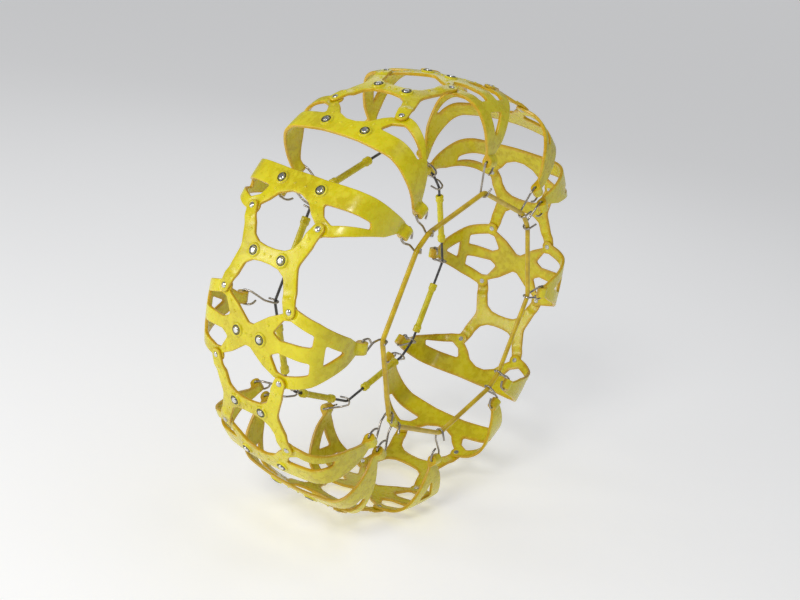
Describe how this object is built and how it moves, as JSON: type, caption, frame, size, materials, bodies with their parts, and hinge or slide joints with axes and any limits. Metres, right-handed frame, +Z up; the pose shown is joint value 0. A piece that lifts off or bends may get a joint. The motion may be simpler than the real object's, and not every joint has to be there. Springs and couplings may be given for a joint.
{
  "type": "tyre snow chain",
  "caption": "Moulded plastic tyre snow chain with steel studs: riveted panels in riveted sections round a tyre, wire hooks, an elastic cord outside and a sleeved cable inside.",
  "frame": {"origin": "centre of the wheel that the chain is fitted to, midway across the tread", "axes": "+Y along the wheel's axis towards the car, so the corded side faces -Y; +Z up; the sections' middles are at -X, +Z, +X and -Z"},
  "size_m": [0.6436, 0.2299, 0.6436],
  "materials": {
    "tpu_yellow": "glossy moulded polyurethane, slightly translucent, golden at the edges",
    "plated_steel": "bright plated steel wire and rivets",
    "cord_rubber": "smooth yellow elastic cord",
    "coated_cable": "dark plastic-coated steel cable",
    "joiner_plastic": "yellow moulded joiner"
  },
  "bodies": {
    "chain": {"section1_centre_panel": "tpu_yellow", "section1_link_panel_1": "tpu_yellow", "section1_link_panel_2": "tpu_yellow", "section1_end_panel_1": "tpu_yellow", "section1_end_panel_2": "tpu_yellow", "section2_centre_panel": "tpu_yellow", "section2_link_panel_1": "tpu_yellow", "section2_link_panel_2": "tpu_yellow", "section2_end_panel_1": "tpu_yellow", "section2_end_panel_2": "tpu_yellow", "section3_centre_panel": "tpu_yellow", "section3_link_panel_1": "tpu_yellow", "section3_link_panel_2": "tpu_yellow", "section3_end_panel_1": "tpu_yellow", "section3_end_panel_2": "tpu_yellow", "section4_centre_panel": "tpu_yellow", "section4_link_panel_1": "tpu_yellow", "section4_link_panel_2": "tpu_yellow", "section4_end_panel_1": "tpu_yellow", "section4_end_panel_2": "tpu_yellow", "outer_tension_cord": "cord_rubber", "outer_cord_joiner": "joiner_plastic", "inner_cable": "coated_cable", "inner_cable_coupler": "plated_steel"},
    "section1_outer_hook_1": {"section1_outer_hook_1": "plated_steel"},
    "section1_outer_hook_2": {"section1_outer_hook_2": "plated_steel"},
    "section1_outer_hook_3": {"section1_outer_hook_3": "plated_steel"},
    "section1_inner_hook_1": {"section1_inner_hook_1": "plated_steel"},
    "section1_inner_hook_2": {"section1_inner_hook_2": "plated_steel"},
    "section1_inner_hook_3": {"section1_inner_hook_3": "plated_steel"},
    "section2_outer_hook_1": {"section2_outer_hook_1": "plated_steel"},
    "section2_outer_hook_2": {"section2_outer_hook_2": "plated_steel"},
    "section2_outer_hook_3": {"section2_outer_hook_3": "plated_steel"},
    "section2_inner_hook_1": {"section2_inner_hook_1": "plated_steel"},
    "section2_inner_hook_2": {"section2_inner_hook_2": "plated_steel"},
    "section2_inner_hook_3": {"section2_inner_hook_3": "plated_steel"},
    "section3_outer_hook_1": {"section3_outer_hook_1": "plated_steel"},
    "section3_outer_hook_2": {"section3_outer_hook_2": "plated_steel"},
    "section3_outer_hook_3": {"section3_outer_hook_3": "plated_steel"},
    "section3_inner_hook_1": {"section3_inner_hook_1": "plated_steel"},
    "section3_inner_hook_2": {"section3_inner_hook_2": "plated_steel"},
    "section3_inner_hook_3": {"section3_inner_hook_3": "plated_steel"},
    "section4_outer_hook_1": {"section4_outer_hook_1": "plated_steel"},
    "section4_outer_hook_2": {"section4_outer_hook_2": "plated_steel"},
    "section4_outer_hook_3": {"section4_outer_hook_3": "plated_steel"},
    "section4_inner_hook_1": {"section4_inner_hook_1": "plated_steel"},
    "section4_inner_hook_2": {"section4_inner_hook_2": "plated_steel"},
    "section4_inner_hook_3": {"section4_inner_hook_3": "plated_steel"},
    "inner_sleeve_1": {"inner_sleeve_1": "tpu_yellow"},
    "inner_sleeve_2": {"inner_sleeve_2": "tpu_yellow"},
    "inner_sleeve_3": {"inner_sleeve_3": "tpu_yellow"},
    "inner_sleeve_4": {"inner_sleeve_4": "tpu_yellow"},
    "inner_sleeve_5": {"inner_sleeve_5": "tpu_yellow"},
    "inner_sleeve_6": {"inner_sleeve_6": "tpu_yellow"},
    "inner_sleeve_7": {"inner_sleeve_7": "tpu_yellow"},
    "inner_sleeve_8": {"inner_sleeve_8": "tpu_yellow"}
  },
  "joints": [
    {"name": "section1_outer_hook_1_swing", "type": "hinge", "parent": "chain", "child": "section1_outer_hook_1", "pos_m": [-0.17167, -0.10548, -0.1456], "axis": [0.6468, 0, -0.7626], "range_deg": [-8, 95], "deforming": ["outer_tension_cord"]},
    {"name": "section1_outer_hook_2_swing", "type": "hinge", "parent": "chain", "child": "section1_outer_hook_2", "pos_m": [-0.22509, -0.10548, 0], "axis": [0, 0, -1], "range_deg": [-8, 95], "deforming": ["outer_tension_cord"]},
    {"name": "section1_outer_hook_3_swing", "type": "hinge", "parent": "chain", "child": "section1_outer_hook_3", "pos_m": [-0.17167, -0.10548, 0.1456], "axis": [-0.6468, 0, -0.7626], "range_deg": [-8, 95], "deforming": ["outer_tension_cord"]},
    {"name": "section1_inner_hook_1_swing", "type": "hinge", "parent": "chain", "child": "section1_inner_hook_1", "pos_m": [-0.17167, 0.10548, -0.1456], "axis": [-0.6468, 0, 0.7626], "range_deg": [-5, 145], "deforming": ["inner_cable"]},
    {"name": "section1_inner_hook_2_swing", "type": "hinge", "parent": "chain", "child": "section1_inner_hook_2", "pos_m": [-0.22509, 0.10548, 0], "axis": [0, 0, 1], "range_deg": [-5, 145], "deforming": ["inner_cable"]},
    {"name": "section1_inner_hook_3_swing", "type": "hinge", "parent": "chain", "child": "section1_inner_hook_3", "pos_m": [-0.17167, 0.10548, 0.1456], "axis": [0.6468, 0, 0.7626], "range_deg": [-5, 145], "deforming": ["inner_cable"]},
    {"name": "section2_outer_hook_1_swing", "type": "hinge", "parent": "chain", "child": "section2_outer_hook_1", "pos_m": [-0.1456, -0.10548, 0.17167], "axis": [-0.7626, 0, -0.6468], "range_deg": [-8, 95], "deforming": ["outer_tension_cord"]},
    {"name": "section2_outer_hook_2_swing", "type": "hinge", "parent": "chain", "child": "section2_outer_hook_2", "pos_m": [0, -0.10548, 0.22509], "axis": [-1, 0, 0], "range_deg": [-8, 95], "deforming": ["outer_tension_cord"]},
    {"name": "section2_outer_hook_3_swing", "type": "hinge", "parent": "chain", "child": "section2_outer_hook_3", "pos_m": [0.1456, -0.10548, 0.17167], "axis": [-0.7626, 0, 0.6468], "range_deg": [-8, 95], "deforming": ["outer_tension_cord"]},
    {"name": "section2_inner_hook_1_swing", "type": "hinge", "parent": "chain", "child": "section2_inner_hook_1", "pos_m": [-0.1456, 0.10548, 0.17167], "axis": [0.7626, 0, 0.6468], "range_deg": [-5, 145], "deforming": ["inner_cable"]},
    {"name": "section2_inner_hook_2_swing", "type": "hinge", "parent": "chain", "child": "section2_inner_hook_2", "pos_m": [0, 0.10548, 0.22509], "axis": [1, 0, 0], "range_deg": [-5, 145], "deforming": ["inner_cable"]},
    {"name": "section2_inner_hook_3_swing", "type": "hinge", "parent": "chain", "child": "section2_inner_hook_3", "pos_m": [0.1456, 0.10548, 0.17167], "axis": [0.7626, 0, -0.6468], "range_deg": [-5, 145], "deforming": ["inner_cable"]},
    {"name": "section3_outer_hook_1_swing", "type": "hinge", "parent": "chain", "child": "section3_outer_hook_1", "pos_m": [0.17167, -0.10548, 0.1456], "axis": [-0.6468, 0, 0.7626], "range_deg": [-8, 95], "deforming": ["outer_tension_cord"]},
    {"name": "section3_outer_hook_2_swing", "type": "hinge", "parent": "chain", "child": "section3_outer_hook_2", "pos_m": [0.22509, -0.10548, 0], "axis": [0, 0, 1], "range_deg": [-8, 95], "deforming": ["outer_tension_cord"]},
    {"name": "section3_outer_hook_3_swing", "type": "hinge", "parent": "chain", "child": "section3_outer_hook_3", "pos_m": [0.17167, -0.10548, -0.1456], "axis": [0.6468, 0, 0.7626], "range_deg": [-8, 95], "deforming": ["outer_tension_cord"]},
    {"name": "section3_inner_hook_1_swing", "type": "hinge", "parent": "chain", "child": "section3_inner_hook_1", "pos_m": [0.17167, 0.10548, 0.1456], "axis": [0.6468, 0, -0.7626], "range_deg": [-5, 145], "deforming": ["inner_cable"]},
    {"name": "section3_inner_hook_2_swing", "type": "hinge", "parent": "chain", "child": "section3_inner_hook_2", "pos_m": [0.22509, 0.10548, 0], "axis": [0, 0, -1], "range_deg": [-5, 145], "deforming": ["inner_cable"]},
    {"name": "section3_inner_hook_3_swing", "type": "hinge", "parent": "chain", "child": "section3_inner_hook_3", "pos_m": [0.17167, 0.10548, -0.1456], "axis": [-0.6468, 0, -0.7626], "range_deg": [-5, 145], "deforming": ["inner_cable"]},
    {"name": "section4_outer_hook_1_swing", "type": "hinge", "parent": "chain", "child": "section4_outer_hook_1", "pos_m": [0.1456, -0.10548, -0.17167], "axis": [0.7626, 0, 0.6468], "range_deg": [-8, 95], "deforming": ["outer_tension_cord"]},
    {"name": "section4_outer_hook_2_swing", "type": "hinge", "parent": "chain", "child": "section4_outer_hook_2", "pos_m": [0, -0.10548, -0.22509], "axis": [1, 0, 0], "range_deg": [-8, 95], "deforming": ["outer_tension_cord"]},
    {"name": "section4_outer_hook_3_swing", "type": "hinge", "parent": "chain", "child": "section4_outer_hook_3", "pos_m": [-0.1456, -0.10548, -0.17167], "axis": [0.7626, 0, -0.6468], "range_deg": [-8, 95], "deforming": ["outer_tension_cord"]},
    {"name": "section4_inner_hook_1_swing", "type": "hinge", "parent": "chain", "child": "section4_inner_hook_1", "pos_m": [0.1456, 0.10548, -0.17167], "axis": [-0.7626, 0, -0.6468], "range_deg": [-5, 145], "deforming": ["inner_cable"]},
    {"name": "section4_inner_hook_2_swing", "type": "hinge", "parent": "chain", "child": "section4_inner_hook_2", "pos_m": [0, 0.10548, -0.22509], "axis": [-1, 0, 0], "range_deg": [-5, 145], "deforming": ["inner_cable"]},
    {"name": "section4_inner_hook_3_swing", "type": "hinge", "parent": "chain", "child": "section4_inner_hook_3", "pos_m": [-0.1456, 0.10548, -0.17167], "axis": [-0.7626, 0, 0.6468], "range_deg": [-5, 145], "deforming": ["inner_cable"]},
    {"name": "inner_sleeve_1_slide", "type": "slide", "parent": "chain", "child": "inner_sleeve_1", "axis": [-0.3445, 0, 0.9388], "range_m": [-0.004, 0.028]},
    {"name": "inner_sleeve_2_slide", "type": "slide", "parent": "chain", "child": "inner_sleeve_2", "axis": [0.3445, 0, 0.9388], "range_m": [-0.028, 0.004]},
    {"name": "inner_sleeve_3_slide", "type": "slide", "parent": "chain", "child": "inner_sleeve_3", "axis": [0.9388, 0, 0.3445], "range_m": [-0.004, 0.028]},
    {"name": "inner_sleeve_4_slide", "type": "slide", "parent": "chain", "child": "inner_sleeve_4", "axis": [0.9388, 0, -0.3445], "range_m": [-0.028, 0.004]},
    {"name": "inner_sleeve_5_slide", "type": "slide", "parent": "chain", "child": "inner_sleeve_5", "axis": [0.3445, 0, -0.9388], "range_m": [-0.004, 0.028]},
    {"name": "inner_sleeve_6_slide", "type": "slide", "parent": "chain", "child": "inner_sleeve_6", "axis": [-0.3445, 0, -0.9388], "range_m": [-0.028, 0.004]},
    {"name": "inner_sleeve_7_slide", "type": "slide", "parent": "chain", "child": "inner_sleeve_7", "axis": [-0.9388, 0, -0.3445], "range_m": [-0.004, 0.028]},
    {"name": "inner_sleeve_8_slide", "type": "slide", "parent": "chain", "child": "inner_sleeve_8", "axis": [-0.9388, 0, 0.3445], "range_m": [-0.028, 0.004]}
  ]
}
